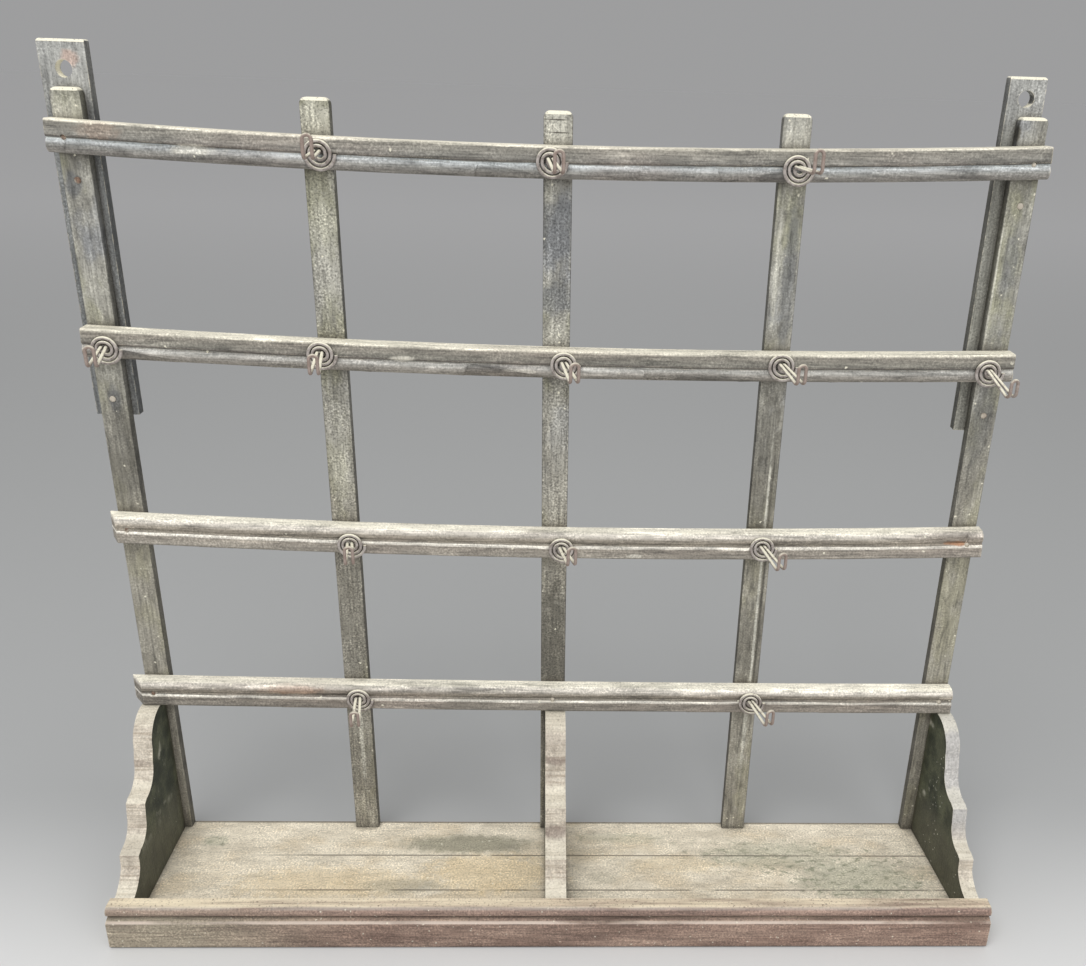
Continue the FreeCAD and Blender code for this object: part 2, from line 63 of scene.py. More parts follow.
# Stage: the floor's colours change along y as painted light, pale in front as a painted pool of light, grey
# in the middle and paler far off where the lamps give less; lights stand off from the rack's middle
FLOOR_SIZE = 60.0
FLOOR_GAP = 0.0005
FLOOR_NEAR = rgb(0.69, 0.69, 0.685)
FLOOR_MIDDLE = rgb(0.395, 0.40, 0.40)
FLOOR_FAR = rgb(0.55, 0.55, 0.555)
NEAR_FADE = (0.06, -0.20)
FAR_FADE = (0.6, 4.0)
FLOOR_SHINE = 0.1
SKY = rgb(0.34, 0.34, 0.343)
WHITE = rgb(1, 1, 1)
WORLD_LIGHT = 0.62
LIGHT_SIZE = 1.6
LIGHTS = {
    "key": (Vector((-0.5, -1.1, 1.9)), 32),
    "fill": (Vector((1.4, -1.6, 0.7)), 12),
}


def make_camera():
    """The photograph's camera: place, direction, roll and off-centre frame."""
    flat = math.cos(CAMERA_PITCH)
    forward = Vector((math.sin(CAMERA_YAW) * flat, math.cos(CAMERA_YAW) * flat, -math.sin(CAMERA_PITCH)))
    right = Vector((math.cos(CAMERA_YAW), -math.sin(CAMERA_YAW), 0))
    down = forward.cross(right)
    cos_roll = math.cos(CAMERA_ROLL)
    sin_roll = math.sin(CAMERA_ROLL)
    across = right * cos_roll + down * sin_roll
    drop = down * cos_roll - right * sin_roll
    data = bpy.data.cameras.new("camera")
    data.sensor_fit = "HORIZONTAL"
    data.sensor_width = SENSOR_WIDTH
    data.lens = SENSOR_WIDTH * FOCAL_PIXELS / IMAGE_WIDTH
    data.shift_x = (IMAGE_WIDTH / 2 - PRINCIPAL_POINT[0]) / IMAGE_WIDTH
    data.shift_y = (PRINCIPAL_POINT[1] - IMAGE_HEIGHT / 2) / IMAGE_WIDTH
    data.clip_start = CLIP_START
    camera = bpy.data.objects.new("camera", data)
    turn = Matrix((across, -drop, -forward)).transposed().to_4x4()
    camera.matrix_world = Matrix.Translation(CAMERA_PLACE) @ turn
    bpy.context.scene.collection.objects.link(camera)
    bpy.context.scene.camera = camera


# The mix node's sockets, which share their names between kinds
VECTOR_A = 4
VECTOR_B = 5
VECTOR_MIX = 1
COLOUR_A = 6
COLOUR_B = 7
COLOUR_MIX = 2

# Noise: a shift moves it unevenly along the axes, so that no two patterns line up
SHIFT_WAY = (1.0, 0.7, 1.3)
NOISE_ROUGHNESS = 0.6
EVEN = (1, 1, 1)

# Fades: the value where a pattern starts and the value where it is full
DOT_FADE = (0.17, 0.08)
DOT_SHARE_FADE = 0.02
LINE_FADE = (0.16, 0.05)
SPOT_FADE = (1.0, 0.45)
EDGE_FADE = (0.97, 0.78)
NOOK_FADE = (0.85, 0.35)
SPOT_GRAIN = 0.006
SPOT_SHIFT = 9
BEVEL_SAMPLES = 4
NOOK_SAMPLES = 5


class Paint:
    """One material's node tree, with short calls for the nodes that the looks are made of."""

    def __init__(self, name):
        self.material = bpy.data.materials.new(name)
        self.material.use_nodes = True
        self.tree = self.material.node_tree
        self.shader = self.tree.nodes["Principled BSDF"]
        self.place = self.node("ShaderNodeTexCoord").outputs["Object"]
        self.normal = self.node("ShaderNodeNewGeometry").outputs["Normal"]
        self.x, self.y, self.z = self.parts_of(self.place)
        self.facing_x, self.facing_y, self.facing_z = self.parts_of(self.normal)

    def node(self, kind, **settings):
        node = self.tree.nodes.new(kind)
        for key, value in settings.items():
            setattr(node, key, value)
        return node

    def feed(self, socket, value):
        """Link a socket to another, or set its plain value."""
        if isinstance(value, bpy.types.NodeSocket):
            self.tree.links.new(value, socket)
        else:
            socket.default_value = value

    def parts_of(self, vector):
        split = self.node("ShaderNodeSeparateXYZ")
        self.feed(split.inputs[0], vector)
        return split.outputs

    def math(self, operation, a, b=0.0):
        node = self.node("ShaderNodeMath", operation=operation)
        self.feed(node.inputs[0], a)
        self.feed(node.inputs[1], b)
        return node.outputs[0]

    def plus(self, a, b):
        return self.math("ADD", a, b)

    def minus(self, a, b):
        return self.math("SUBTRACT", a, b)

    def times(self, *values):
        product = values[0]
        for value in values[1:]:
            product = self.math("MULTIPLY", product, value)
        return product

    def rest(self, share):
        """What a share leaves of 1."""
        return self.minus(1.0, share)

    def centred(self, share):
        """A share from 0 to 1 as a value about 0."""
        return self.minus(share, 0.5)

    def away(self, value, middle=0.0):
        """How far a value is from a middle, on either side."""
        return self.math("ABSOLUTE", self.minus(value, middle))

    def ramp(self, value, low, high):
        """A smooth step from 0 at low to 1 at high, which may be the lesser."""
        node = self.node("ShaderNodeMapRange", interpolation_type="SMOOTHSTEP")
        self.feed(node.inputs["Value"], value)
        self.feed(node.inputs["From Min"], low)
        self.feed(node.inputs["From Max"], high)
        return node.outputs[0]

    def sideways(self, low, high):
        """A smooth step by how squarely a face looks to the left or right."""
        return self.ramp(self.away(self.facing_x), low, high)

    def cells(self, size, stretch, shift):
        """The place counted in cells as large as size, in metres, times stretch."""
        mapping = self.node("ShaderNodeMapping")
        self.feed(mapping.inputs["Vector"], self.place)
        mapping.inputs["Location"].default_value = tuple(shift * way for way in SHIFT_WAY)
        mapping.inputs["Scale"].default_value = tuple(1 / (size * s) for s in stretch)
        return mapping.outputs[0]

    def noise(self, size, stretch=EVEN, detail=3.0, shift=0.0):
        """Noise from 0 to 1 whose blotches are about as large as size times stretch."""
        node = self.node("ShaderNodeTexNoise")
        self.feed(node.inputs["Vector"], self.cells(size, stretch, shift))
        node.inputs["Scale"].default_value = 1.0
        node.inputs["Detail"].default_value = detail
        node.inputs["Roughness"].default_value = NOISE_ROUGHNESS
        return node.outputs["Fac"]

    def dots(self, size, share, shift=0.0):
        """Sparse specks: one in each of a share of the cells."""
        node = self.node("ShaderNodeTexVoronoi")
        self.feed(node.inputs["Vector"], self.cells(size, EVEN, shift))
        node.inputs["Scale"].default_value = 1.0
        chance = self.parts_of(node.outputs["Color"])[0]
        kept = self.ramp(chance, 1 - share, 1 - share + DOT_SHARE_FADE)
        uneven = self.times(self.centred(self.noise(size / 4, shift=shift)), 0.5)
        return self.times(self.ramp(self.plus(node.outputs["Distance"], uneven), *DOT_FADE), kept)

    def lines(self, size, stretch, count, shift=0.0):
        """Thin lines that follow the levels of a noise, as year rings do."""
        level = self.math("FRACT", self.times(self.noise(size, stretch, detail=2.0, shift=shift), count))
        return self.ramp(self.away(level, 0.5), *LINE_FADE)

    def spot(self, centre, reach, ragged=0.5):
        """A patch about a point, 1 in the middle and 0 past its reach, with a ragged edge."""
        offset = self.node("ShaderNodeVectorMath", operation="SUBTRACT")
        self.feed(offset.inputs[0], self.place)
        offset.inputs[1].default_value = centre
        scaled = self.node("ShaderNodeVectorMath", operation="DIVIDE")
        self.feed(scaled.inputs[0], offset.outputs[0])
        scaled.inputs[1].default_value = reach
        far = self.node("ShaderNodeVectorMath", operation="LENGTH")
        self.feed(far.inputs[0], scaled.outputs[0])
        rough = self.times(self.centred(self.noise(SPOT_GRAIN, shift=centre[0] * SPOT_SHIFT)), 2 * ragged)
        return self.ramp(self.plus(far.outputs["Value"], rough), *SPOT_FADE)

    def edge(self, radius):
        """1 along arrises and corners, 0 on open faces."""
        bevel = self.node("ShaderNodeBevel", samples=BEVEL_SAMPLES)
        bevel.inputs["Radius"].default_value = radius
        dot = self.node("ShaderNodeVectorMath", operation="DOT_PRODUCT")
        self.feed(dot.inputs[0], bevel.outputs[0])
        self.feed(dot.inputs[1], self.normal)
        return self.ramp(dot.outputs["Value"], *EDGE_FADE)

    def nook(self, reach):
        """1 in crevices, 0 in the open."""
        hidden = self.node("ShaderNodeAmbientOcclusion", samples=NOOK_SAMPLES)
        hidden.inputs["Distance"].default_value = reach
        return self.ramp(hidden.outputs["AO"], *NOOK_FADE)

    def mix(self, share, a, b, blend="MIX"):
        """Colour a where share is 0 and b where it is 1."""
        node = self.node("ShaderNodeMix", data_type="RGBA", blend_type=blend)
        self.feed(node.inputs["Factor"], share)
        self.feed(node.inputs[COLOUR_A], a)
        self.feed(node.inputs[COLOUR_B], b)
        return node.outputs[COLOUR_MIX]

    def mix_vectors(self, share, a, b):
        node = self.node("ShaderNodeMix", data_type="VECTOR")
        self.feed(node.inputs["Factor"], share)
        self.feed(node.inputs[VECTOR_A], a)
        self.feed(node.inputs[VECTOR_B], b)
        return node.outputs[VECTOR_MIX]

    def coat(self, colour, over, *shares):
        """A colour with another laid over it, as thick as the shares' product."""
        return self.mix(self.times(*shares), colour, over)

    def tone(self, colour, factor, *shares):
        """A colour made darker, or brighter with a factor above 1, by the shares' product."""
        return self.mix(self.times(*shares), colour, rgb(factor, factor, factor), blend="MULTIPLY")

    def mottle(self, colour, value, dark, light, share=1.0):
        """Toned down where a value is low and up where it is high: each by start, full value and factor."""
        for start, full, factor in (dark, light):
            colour = self.tone(colour, factor, self.ramp(value, start, full), share)
        return colour

    def patches(self, colour, over, rows, ragged=0.5):
        """A colour with another laid over it in patches: rows of centre, reach and strength."""
        for centre, reach, strength in rows:
            colour = self.coat(colour, over, self.spot(centre, reach, ragged), strength)
        return colour

    def bands(self, value, rows):
        """Colours that follow a value from 0 to 1, each row a value and its colour."""
        node = self.node("ShaderNodeValToRGB")
        self.feed(node.inputs[0], value)
        stops = node.color_ramp.elements
        while len(stops) < len(rows):
            stops.new(1.0)
        for stop, (position, colour) in zip(stops, rows):
            stop.position = position
            stop.color = colour
        return node.outputs[0]

    def bump(self, height, depth, normal=None):
        node = self.node("ShaderNodeBump")
        if normal:
            self.feed(node.inputs["Normal"], normal)
        node.inputs["Strength"].default_value = 1.0
        node.inputs["Distance"].default_value = depth
        self.feed(node.inputs["Height"], height)
        self.feed(self.shader.inputs["Normal"], node.outputs[0])

    def finish(self, colour, roughness, metal=0.0):
        self.feed(self.shader.inputs["Base Color"], colour)
        self.feed(self.shader.inputs["Roughness"], roughness)
        self.feed(self.shader.inputs["Metallic"], metal)
        return self.material


# Ageing of all the wooden pieces
DUST = rgb(0.82, 0.78, 0.63)
BARE = rgb(0.66, 0.60, 0.46)
# Dark of dirt, chips, cracks and joints, also used as painted shade in nooks
GRIME_AND_SHADE = rgb(0.045, 0.038, 0.028)
ALONG = {"X": (20, 1, 1), "Z": (1, 1, 20)}
FINE_GRAIN = 0.0016
BROAD_GRAIN = 0.0045
DARK_STREAK = (0.48, 0.34, 0.3)
LIGHT_STREAK = (0.54, 0.68, 1.7)
GRIT_SIZE = 0.0014
GRITTY_AREA = 0.018
NOOK_REACH = 0.007
ARRIS_RADIUS = 0.0012
WORN_SIZE = 0.005
DUST_FADE = 0.25
WOOD_RELIEF = 0.0006


def weather(paint, colour, grain_axis, dust_from, dust=DUST, dusty=1.0, streaky=1.0, grit=1.0,
            wear=1.0, nook_dirt_and_shade=1.0, relief=WOOD_RELIEF, normal=None):
    """Age a wooden finish: streaks along the grain, grit, nooks darkened with dirt and painted shade, worn
    arrises, dust on top.
    """
    fine = paint.noise(FINE_GRAIN, ALONG[grain_axis], detail=2.0, shift=1.0)
    broad = paint.noise(BROAD_GRAIN, ALONG[grain_axis], detail=4.0, shift=2.0)
    for streak, strength in ((fine, 0.60), (broad, 0.50)):
        colour = paint.mottle(colour, streak, DARK_STREAK, LIGHT_STREAK, strength * streaky)
    sand = paint.noise(GRIT_SIZE, detail=1.5, shift=3.0)
    patchy = paint.ramp(paint.noise(GRITTY_AREA, detail=4.0, shift=4.0), 0.30, 0.62)
    colour = paint.tone(colour, 2.0, paint.ramp(sand, 0.52, 0.64), patchy, grit)
    colour = paint.tone(colour, 0.42, paint.ramp(sand, 0.47, 0.34), grit)
    nook = paint.nook(NOOK_REACH)
    # Nooks darkened with dirt and painted shade.
    colour = paint.coat(colour, GRIME_AND_SHADE, nook, 0.8 * nook_dirt_and_shade)
    ragged = paint.noise(WORN_SIZE, detail=4.0, shift=5.0)
    arris = paint.times(paint.edge(ARRIS_RADIUS), paint.rest(nook))
    colour = paint.coat(colour, BARE, arris, paint.ramp(ragged, 0.42, 0.60), 0.85 * wear)
    colour = paint.coat(colour, GRIME_AND_SHADE, arris, paint.ramp(ragged, 0.42, 0.32), 0.6 * wear)
    lying = paint.plus(paint.facing_z, paint.times(paint.centred(broad), 0.5))
    settled = paint.times(paint.ramp(lying, dust_from, dust_from + DUST_FADE), paint.ramp(sand, 0.20, 0.44))
    colour = paint.coat(colour, dust, settled, 0.94, dusty)
    paint.bump(paint.plus(paint.times(fine, 0.6), paint.times(sand, 0.5)), relief, normal)
    return colour


# Stiles
STILE_FACE = -0.014
RAIL_FACE = -0.025
FACE_PATCH_DEPTH = 0.01
STILE_DARK = rgb(0.205, 0.198, 0.172)
STILE_LIGHT = rgb(0.37, 0.36, 0.315)
STILE_OLIVE = rgb(0.28, 0.275, 0.18)
STILE_BLUE = rgb(0.215, 0.225, 0.245)
STILE_BROWN = rgb(0.285, 0.255, 0.195)
STILE_SLATE = rgb(0.13, 0.135, 0.14)
STILE_SOOT = rgb(0.080, 0.074, 0.058)
STILE_PALE = rgb(0.56, 0.545, 0.47)
STILE_SHADOW = rgb(0.10, 0.085, 0.066)
UPPER_FADE = (-0.32, -0.14)
SANDY_MIDDLE = -0.07
SANDY_FADE = (0.18, 0.12)
STILE_SIDE_FADE = (0.6, 0.9)


def face_patch(x, z, wide, high, strength, y=STILE_FACE, deep=FACE_PATCH_DEPTH):
    """A patch on an upright face: its centre, reach and strength."""
    return (x, y, z), (wide, deep, high), strength


SLATE_PATCHES = (
    face_patch(0.003, -0.086, 0.016, 0.030, 0.65),
    face_patch(0.003, -0.130, 0.016, 0.015, 0.70),
    face_patch(-0.294, -0.066, 0.006, 0.010, 0.70),
    face_patch(-0.290, -0.204, 0.005, 0.012, 0.70),
    face_patch(0.153, -0.110, 0.006, 0.060, 0.60),
    face_patch(0.297, -0.100, 0.007, 0.030, 0.50),
    face_patch(0.296, -0.190, 0.009, 0.065, 0.45),
)
DARK_PATCHES = (
    face_patch(0.003, -0.395, 0.020, 0.080, 0.80),
    face_patch(-0.291, -0.245, 0.016, 0.055, 0.50),
    face_patch(0.150, -0.250, 0.018, 0.075, 0.55),
    face_patch(0.297, -0.225, 0.014, 0.045, 0.35),
    face_patch(0.150, -0.390, 0.018, 0.060, 0.50),
    face_patch(-0.144, -0.375, 0.018, 0.085, 0.40),
    face_patch(-0.144, -0.500, 0.014, 0.040, 0.30),
    face_patch(0.1555, -0.330, 0.0012, 0.150, 0.80),
    face_patch(0.288, -0.020, 0.0025, 0.006, 0.95, y=-0.012, deep=0.006),
    face_patch(0.288, -0.034, 0.0016, 0.010, 0.85, deep=0.006),
)
PALE_PATCHES = (
    face_patch(0.003, -0.030, 0.012, 0.024, 0.70),
    face_patch(0.003, -0.156, 0.014, 0.014, 0.45),
    face_patch(-0.291, -0.030, 0.014, 0.022, 0.45),
    face_patch(-0.144, -0.030, 0.014, 0.024, 0.60),
    face_patch(0.150, -0.030, 0.014, 0.024, 0.45),
    face_patch(0.297, -0.034, 0.012, 0.020, 0.40),
    face_patch(-0.144, -0.100, 0.010, 0.045, 0.40),
    face_patch(-0.144, -0.240, 0.010, 0.050, 0.30),
    face_patch(0.145, -0.110, 0.0022, 0.050, 0.60),
    face_patch(0.153, -0.340, 0.0013, 0.160, 0.70),
    face_patch(0.152, -0.460, 0.0020, 0.060, 0.55),
    face_patch(-0.143, -0.470, 0.0020, 0.060, 0.50),
    face_patch(0.2885, -0.130, 0.0012, 0.090, 0.60, y=-0.0135, deep=0.004),
)
CRACKS = (
    face_patch(0.002, -0.0200, 0.010, 0.0006, 0.8),
    face_patch(0.004, -0.0275, 0.009, 0.0006, 0.8),
)


def stile_paint():
    """Grey-olive paint, bluer above and browner below, sandy on two of the strips, with painted shadow in
    the nooks by the rails and painted shade darkening the sides.
    """
    paint = Paint("stile_paint")
    blotch = paint.noise(0.012, (1, 1, 2.5), detail=6.0, shift=6.0)
    colour = paint.mix(paint.ramp(blotch, 0.32, 0.68), STILE_DARK, STILE_LIGHT)
    hue = paint.noise(0.035, (1, 1, 2), detail=4.0, shift=7.0)
    upper = paint.ramp(paint.z, *UPPER_FADE)
    colour = paint.coat(colour, STILE_OLIVE, paint.ramp(hue, 0.48, 0.62), 0.6)
    colour = paint.coat(colour, STILE_BLUE, paint.ramp(hue, 0.46, 0.34), upper, 0.6)
    colour = paint.coat(colour, STILE_BROWN, paint.rest(upper), 0.4)
    colour = paint.patches(colour, STILE_SLATE, SLATE_PATCHES)
    colour = paint.patches(colour, STILE_SOOT, DARK_PATCHES)
    colour = paint.patches(colour, STILE_PALE, PALE_PATCHES)
    colour = paint.coat(colour, STILE_SHADOW, paint.nook(0.022), 0.5)
    sandy = paint.ramp(paint.away(paint.x, SANDY_MIDDLE), *SANDY_FADE)
    flecked = paint.rest(paint.times(sandy, 0.6))
    fleck = paint.noise(0.004, (1, 1, 3), detail=6.0, shift=32.0)
    colour = paint.mottle(colour, fleck, (0.46, 0.36, 0.68), (0.54, 0.64, 1.22), flecked)
    grit = paint.plus(paint.times(sandy, 0.35), 0.4)
    colour = weather(paint, colour, "Z", dust_from=0.4, streaky=0.6, grit=grit)
    colour = paint.coat(colour, DUST, paint.dots(0.0050, 0.16, shift=8.0), 0.8)
    colour = paint.patches(colour, GRIME_AND_SHADE, CRACKS, ragged=0.3)
    # Painted shade: the side faces are darkened.
    colour = paint.tone(colour, 0.42, paint.sideways(*STILE_SIDE_FADE))
    return paint.finish(colour, roughness=0.8)


# Rails: height across the section in mm, from the lower edge, and the colour there
RAIL_HEIGHT = 19.7
BEAD_RADIUS = 5.0
# Painted light in this table: the bead pales and cools toward its top as a painted highlight, and the
# groove at 9.7 to 10.8 is dark as painted shadow.
COOL_BEAD_BELOW = (
    (0.0, rgb(0.25, 0.235, 0.21)),
    (2.5, rgb(0.235, 0.22, 0.20)),
    (5.0, rgb(0.27, 0.265, 0.245)),
    (7.0, rgb(0.37, 0.38, 0.375)),
    (9.0, rgb(0.54, 0.575, 0.58)),
    (9.7, rgb(0.12, 0.11, 0.095)),
    (10.8, rgb(0.13, 0.12, 0.105)),
    (12.0, rgb(0.225, 0.215, 0.19)),
    (18.2, rgb(0.25, 0.235, 0.20)),
    (19.2, rgb(0.68, 0.64, 0.53)),
)
# Painted light in this table: the bead pales toward its top as a painted highlight, and the groove at 9.7
# to 10.8 is dark as painted shadow.
BROWN_BEAD_BELOW = (
    (0.0, rgb(0.27, 0.245, 0.21)),
    (2.5, rgb(0.24, 0.22, 0.19)),
    (5.0, rgb(0.29, 0.27, 0.24)),
    (7.0, rgb(0.38, 0.37, 0.34)),
    (9.0, rgb(0.44, 0.43, 0.40)),
    (9.7, rgb(0.11, 0.10, 0.085)),
    (10.8, rgb(0.12, 0.11, 0.095)),
    (12.0, rgb(0.21, 0.20, 0.17)),
    (17.4, rgb(0.24, 0.22, 0.185)),
    (19.0, rgb(0.68, 0.64, 0.53)),
)
# Painted light in this table: the bright line at 8.2 to 9.5 is a painted highlight on the worn ledge, 9.9
# is dark as painted shadow under the bead, and the bead pales from there to cream on top, painted light
# over dust.
BEAD_ABOVE = (
    (0.0, rgb(0.29, 0.265, 0.225)),
    (7.4, rgb(0.28, 0.25, 0.21)),
    (8.2, rgb(0.72, 0.68, 0.60)),
    (9.5, rgb(0.84, 0.80, 0.71)),
    (9.9, rgb(0.24, 0.215, 0.175)),
    (12.5, rgb(0.31, 0.275, 0.225)),
    (14.5, rgb(0.31, 0.275, 0.225)),
    (16.2, rgb(0.44, 0.405, 0.35)),
    (17.8, rgb(0.58, 0.54, 0.475)),
    (19.0, rgb(0.73, 0.69, 0.585)),
)
RAIL_BANDS = {
    "rail_top": COOL_BEAD_BELOW,
    "rail_upper": BROWN_BEAD_BELOW,
    "rail_lower": BEAD_ABOVE,
    "rail_bottom": BEAD_ABOVE,
}
RAIL_ROSY = rgb(0.30, 0.235, 0.20)
RAIL_PALE = rgb(0.60, 0.57, 0.49)
RAIL_RUST = rgb(0.45, 0.22, 0.11)
RAIL_PALE_MARKS = (
    face_patch(-0.097, -0.169, 0.010, 0.0025, 0.80, RAIL_FACE),
    face_patch(-0.215, -0.043, 0.020, 0.0040, 0.60, RAIL_FACE),
    face_patch(-0.020, -0.176, 0.014, 0.0020, 0.60, RAIL_FACE),
    face_patch(0.060, -0.309, 0.008, 0.0020, 0.70, RAIL_FACE),
)
RAIL_RUST_MARKS = (
    face_patch(0.289, -0.2960, 0.010, 0.0020, 0.80, RAIL_FACE),
    face_patch(-0.270, -0.0330, 0.016, 0.0070, 0.15, RAIL_FACE),
    face_patch(-0.190, -0.4230, 0.030, 0.0050, 0.25, RAIL_FACE),
)

# Where the bead ends: at the groove by its rise, at the back by y, at the rail's ends by facing
STEEPEST = 0.99
GROOVE_FADE = (0.73, 0.69)
RAIL_BACK_FADE = (-0.0143, -0.0150)
RAIL_END_FADE = (0.7, 0.5)


def lower_edge(name):
    """A rail's lower edge as a quadratic of x, from the points along its back."""
    rail = frame["nodes"][name]
    points = numpy.array([rail.matrix_world @ vertex.co for vertex in rail.data.vertices])
    points = points[points[:, 1] > points[:, 1].max() - 0.1 * MM]
    middle = numpy.polyval(numpy.polyfit(points[:, 0], points[:, 2], 2), points[:, 0])
    low = points[points[:, 2] < middle - RAIL_HEIGHT / 4 * MM]
    return numpy.polyfit(low[:, 0], low[:, 2], 2).tolist()


def rail_height(paint, name):
    """Height across a rail's section, 0 at the sagging lower edge and 1 at the top."""
    bend, slope, start = lower_edge(name)
    rise = paint.times(paint.plus(paint.times(paint.x, bend), slope), paint.x)
    return paint.math("DIVIDE", paint.minus(paint.z, paint.plus(rise, start)), RAIL_HEIGHT * MM)


def bead_normal(paint, name, height):
    """The half-round bead's own normal, because the mesh's is uneven near the hook holes."""
    bead_above = RAIL_BANDS[name] is BEAD_ABOVE
    groove_side = -1 if bead_above else 1
    middle = RAIL_HEIGHT - BEAD_RADIUS if bead_above else BEAD_RADIUS
    rise = paint.math("DIVIDE", paint.minus(paint.times(height, RAIL_HEIGHT), middle), BEAD_RADIUS)
    rise = paint.math("MAXIMUM", paint.math("MINIMUM", rise, STEEPEST), -STEEPEST)
    out = paint.math("SQRT", paint.rest(paint.times(rise, rise)))
    made = paint.node("ShaderNodeCombineXYZ")
    paint.feed(made.inputs["Y"], paint.times(out, -1.0))
    paint.feed(made.inputs["Z"], rise)
    on_bead = paint.times(paint.ramp(paint.times(rise, groove_side), *GROOVE_FADE),
                          paint.ramp(paint.y, *RAIL_BACK_FADE),
                          paint.sideways(*RAIL_END_FADE))
    return paint.mix_vectors(on_bead, paint.normal, made.outputs[0])


def rail_paint(name):
    """Grey-brown paint in bands by height: painted shadow in the groove, a painted highlight on the bead,
    and cream along the top, which on the lower rails is painted light over dust.
    """
    paint = Paint(name + "_paint")
    height = rail_height(paint, name)
    blotch = paint.noise(0.012, (4, 1, 1), detail=6.0, shift=9.0)
    unsteady = paint.times(paint.centred(blotch), 0.10)
    rows = [(level / RAIL_HEIGHT, colour) for level, colour in RAIL_BANDS[name]]
    colour = paint.bands(paint.plus(height, unsteady), rows)
    rosy = paint.ramp(paint.noise(0.05, (3, 1, 1), shift=10.0), 0.50, 0.68)
    colour = paint.coat(colour, RAIL_ROSY, rosy, 0.25)
    colour = paint.mottle(colour, blotch, (0.46, 0.30, 0.55), (0.54, 0.70, 1.45))
    fleck = paint.noise(0.0025, (5, 1, 1), detail=5.0, shift=31.0)
    colour = paint.mottle(colour, fleck, (0.44, 0.34, 0.75), (0.56, 0.66, 1.18))
    if name == "rail_bottom":
        colour = paint.tone(colour, 0.80, paint.ramp(height, 0.9, 0.7))
    colour = paint.patches(colour, RAIL_PALE, RAIL_PALE_MARKS)
    colour = paint.patches(colour, RAIL_RUST, RAIL_RUST_MARKS)
    colour = weather(paint, colour, "X", dust_from=0.85, dusty=0.5, grit=0.4, streaky=0.7, nook_dirt_and_shade=0.3,
                     normal=bead_normal(paint, name, height))
    colour = paint.coat(colour, DUST, paint.dots(0.0065, 0.10, shift=11.0), 0.8)
    return paint.finish(colour, roughness=0.65)


# Hangers
HANGER_DARK = rgb(0.235, 0.235, 0.225)
HANGER_LIGHT = rgb(0.42, 0.42, 0.395)
LEFT_STRIP_SHADE = rgb(0.125, 0.135, 0.14)
RIGHT_STRIP_SHADE = rgb(0.20, 0.195, 0.155)
STRIP_FADE = (-0.010, -0.035)
LEFT_TO_RIGHT = (-0.1, 0.1)
HOLE_RUST = rgb(0.52, 0.36, 0.29)
RUST_PLACE = (-0.288, -0.007, 0.006)
RUST_REACH = (0.007, 0.01, 0.006)
HOLE_PLACE = (-0.292, -0.003, 0.0)
HOLE_REACH = (0.009, 0.009, 0.009)
HOLE_WALL_FADE = (0.5, 0.2)
HANGER_SIDE_FADE = (0.85, 0.95)


def hanger_paint():
    """Grey paint, darkened below the tabs and on the sides with painted shade, rust-stained round the left
    hole, whose inside is bare.
    """
    paint = Paint("hanger_paint")
    blotch = paint.noise(0.008, (1, 1, 2), detail=6.0, shift=12.0)
    colour = paint.mix(paint.ramp(blotch, 0.32, 0.68), HANGER_DARK, HANGER_LIGHT)
    # Painted shade: below the tabs, where the strips run behind the stiles, the paint is darkened, bluish
    # at the left and olive at the right.
    strip_shade = paint.mix(paint.ramp(paint.x, *LEFT_TO_RIGHT), LEFT_STRIP_SHADE, RIGHT_STRIP_SHADE)
    colour = paint.coat(colour, strip_shade, paint.ramp(paint.z, *STRIP_FADE), 0.65)
    colour = paint.coat(colour, HOLE_RUST, paint.spot(RUST_PLACE, RUST_REACH), 0.6)
    colour = weather(paint, colour, "Z", dust_from=0.4, grit=0.5, streaky=0.6)
    inside = paint.spot(HOLE_PLACE, HOLE_REACH, ragged=0.0)
    bored = paint.times(inside, paint.ramp(paint.away(paint.facing_y), *HOLE_WALL_FADE))
    colour = paint.coat(colour, DUST, bored)
    # Painted shade: the side faces are darkened, except inside the hole.
    colour = paint.tone(colour, 0.45, paint.sideways(*HANGER_SIDE_FADE), paint.rest(bored))
    return paint.finish(colour, roughness=0.75)


# Shelf boards
SHELF_LEVEL = -0.5585
SHELF_PATCH_HEIGHT = 0.02
SHELF_DARK = rgb(0.53, 0.465, 0.36)
SHELF_LIGHT = rgb(0.76, 0.68, 0.54)
SHELF_BROWN = rgb(0.55, 0.44, 0.29)
SHELF_GOLDEN = rgb(0.66, 0.505, 0.28)
SHELF_STAIN = rgb(0.235, 0.215, 0.150)
SHELF_GREEN = rgb(0.36, 0.355, 0.26)
SHELF_MOULD = rgb(0.13, 0.145, 0.085)
SHELF_CREAM = rgb(0.86, 0.78, 0.58)
SHELF_RELIEF = 0.0003
MOULD_SPREAD = 1.4
FRONT_FADE = (-0.088, -0.106)
BACK_FADE = (-0.0095, -0.0080)
SEAM_FADE = (0.0009, 0.0003)
SEAM_END_FADE = (-0.25, -0.16)


def shelf_patch(x, y, wide, deep, strength):
    """A patch on the shelf's top: its centre, reach and strength."""
    return (x, y, SHELF_LEVEL), (wide, deep, SHELF_PATCH_HEIGHT), strength


